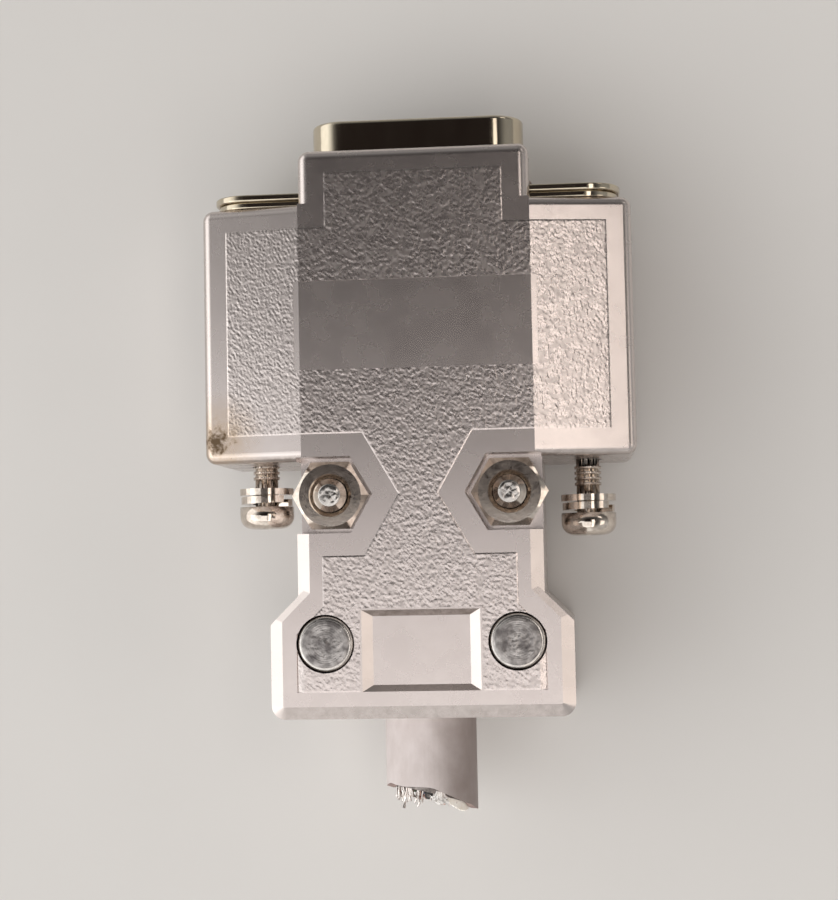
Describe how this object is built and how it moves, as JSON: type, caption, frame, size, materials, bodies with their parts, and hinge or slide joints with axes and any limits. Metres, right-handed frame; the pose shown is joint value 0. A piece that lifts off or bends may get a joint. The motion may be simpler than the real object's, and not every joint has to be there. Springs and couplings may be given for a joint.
{
  "type": "d-sub cable connector",
  "caption": "Cable-end D-shaped socket connector in a two-part metal hood, with captive jack screws, hex nuts and a cut cable stub.",
  "frame": {"origin": "middle of the mating face of the flange", "axes": "+Y out of the connector towards its mate, +X across it, +Z out of the face with the hexagon nuts, which is up when it lies on its back"},
  "size_m": [0.0322, 0.0529, 0.0148],
  "materials": {
    "nickel_casting": "satin nickel plate over a grained zinc casting",
    "nickel_steel": "bright nickel plate over drawn steel",
    "nickel_fastener": "bright nickel plate, slightly yellow",
    "bare_steel": "dull, cut off steel bar",
    "insulator_resin": "moulded black resin",
    "contact_gold": "gold plate over brass",
    "jacket_vinyl": "matt warm grey vinyl",
    "braid_tin": "tinned copper braid",
    "wire_vinyl": "vinyl insulation",
    "clamp_steel": "zinc plated strip"
  },
  "bodies": {
    "hood": {"cable_braid": "braid_tin", "cable_jacket": "jacket_vinyl", "clamp_post_left": "bare_steel", "clamp_post_right": "bare_steel", "clamp_saddle_front": "clamp_steel", "clamp_saddle_rear": "clamp_steel", "contact_1": "contact_gold", "contact_2": "contact_gold", "contact_3": "contact_gold", "contact_4": "contact_gold", "contact_5": "contact_gold", "contact_6": "contact_gold", "contact_7": "contact_gold", "contact_8": "contact_gold", "contact_9": "contact_gold", "front_insulator": "insulator_resin", "hex_nut_left": "nickel_fastener", "hex_nut_right": "nickel_fastener", "hood_front": "nickel_casting", "hood_rear": "nickel_casting", "hood_screw_left": "nickel_fastener", "hood_screw_right": "nickel_fastener", "mating_shell": "nickel_steel", "rear_insulator": "insulator_resin", "rear_shell": "nickel_steel", "wire_1": "wire_vinyl", "wire_2": "wire_vinyl", "wire_3": "wire_vinyl", "wire_4": "wire_vinyl", "wire_5": "wire_vinyl", "wire_6": "wire_vinyl", "wire_7": "wire_vinyl", "wire_8": "wire_vinyl", "wire_9": "wire_vinyl"},
    "jack_washers_left": {"jack_flat_washer_left": "nickel_fastener", "jack_spring_washer_left": "nickel_fastener"},
    "jack_screw_left": {"jack_screw_left": "nickel_fastener"},
    "jack_washers_right": {"jack_flat_washer_right": "nickel_fastener", "jack_spring_washer_right": "nickel_fastener"},
    "jack_screw_right": {"jack_screw_right": "nickel_fastener"}
  },
  "joints": [
    {"name": "jack_slide_left", "type": "slide", "parent": "hood", "child": "jack_washers_left", "axis": [0, 1, 0], "range_m": [-0.001, 0.00168]},
    {"name": "jack_spin_left", "type": "hinge", "parent": "jack_washers_left", "child": "jack_screw_left", "pos_m": [-0.01249, -0.0244, 0], "axis": [0, 1, 0], "continuous": true},
    {"name": "jack_slide_right", "type": "slide", "parent": "hood", "child": "jack_washers_right", "axis": [0, 1, 0], "range_m": [0, 0.00268]},
    {"name": "jack_spin_right", "type": "hinge", "parent": "jack_washers_right", "child": "jack_screw_right", "pos_m": [0.01249, -0.0244, 0], "axis": [0, 1, 0], "continuous": true}
  ]
}
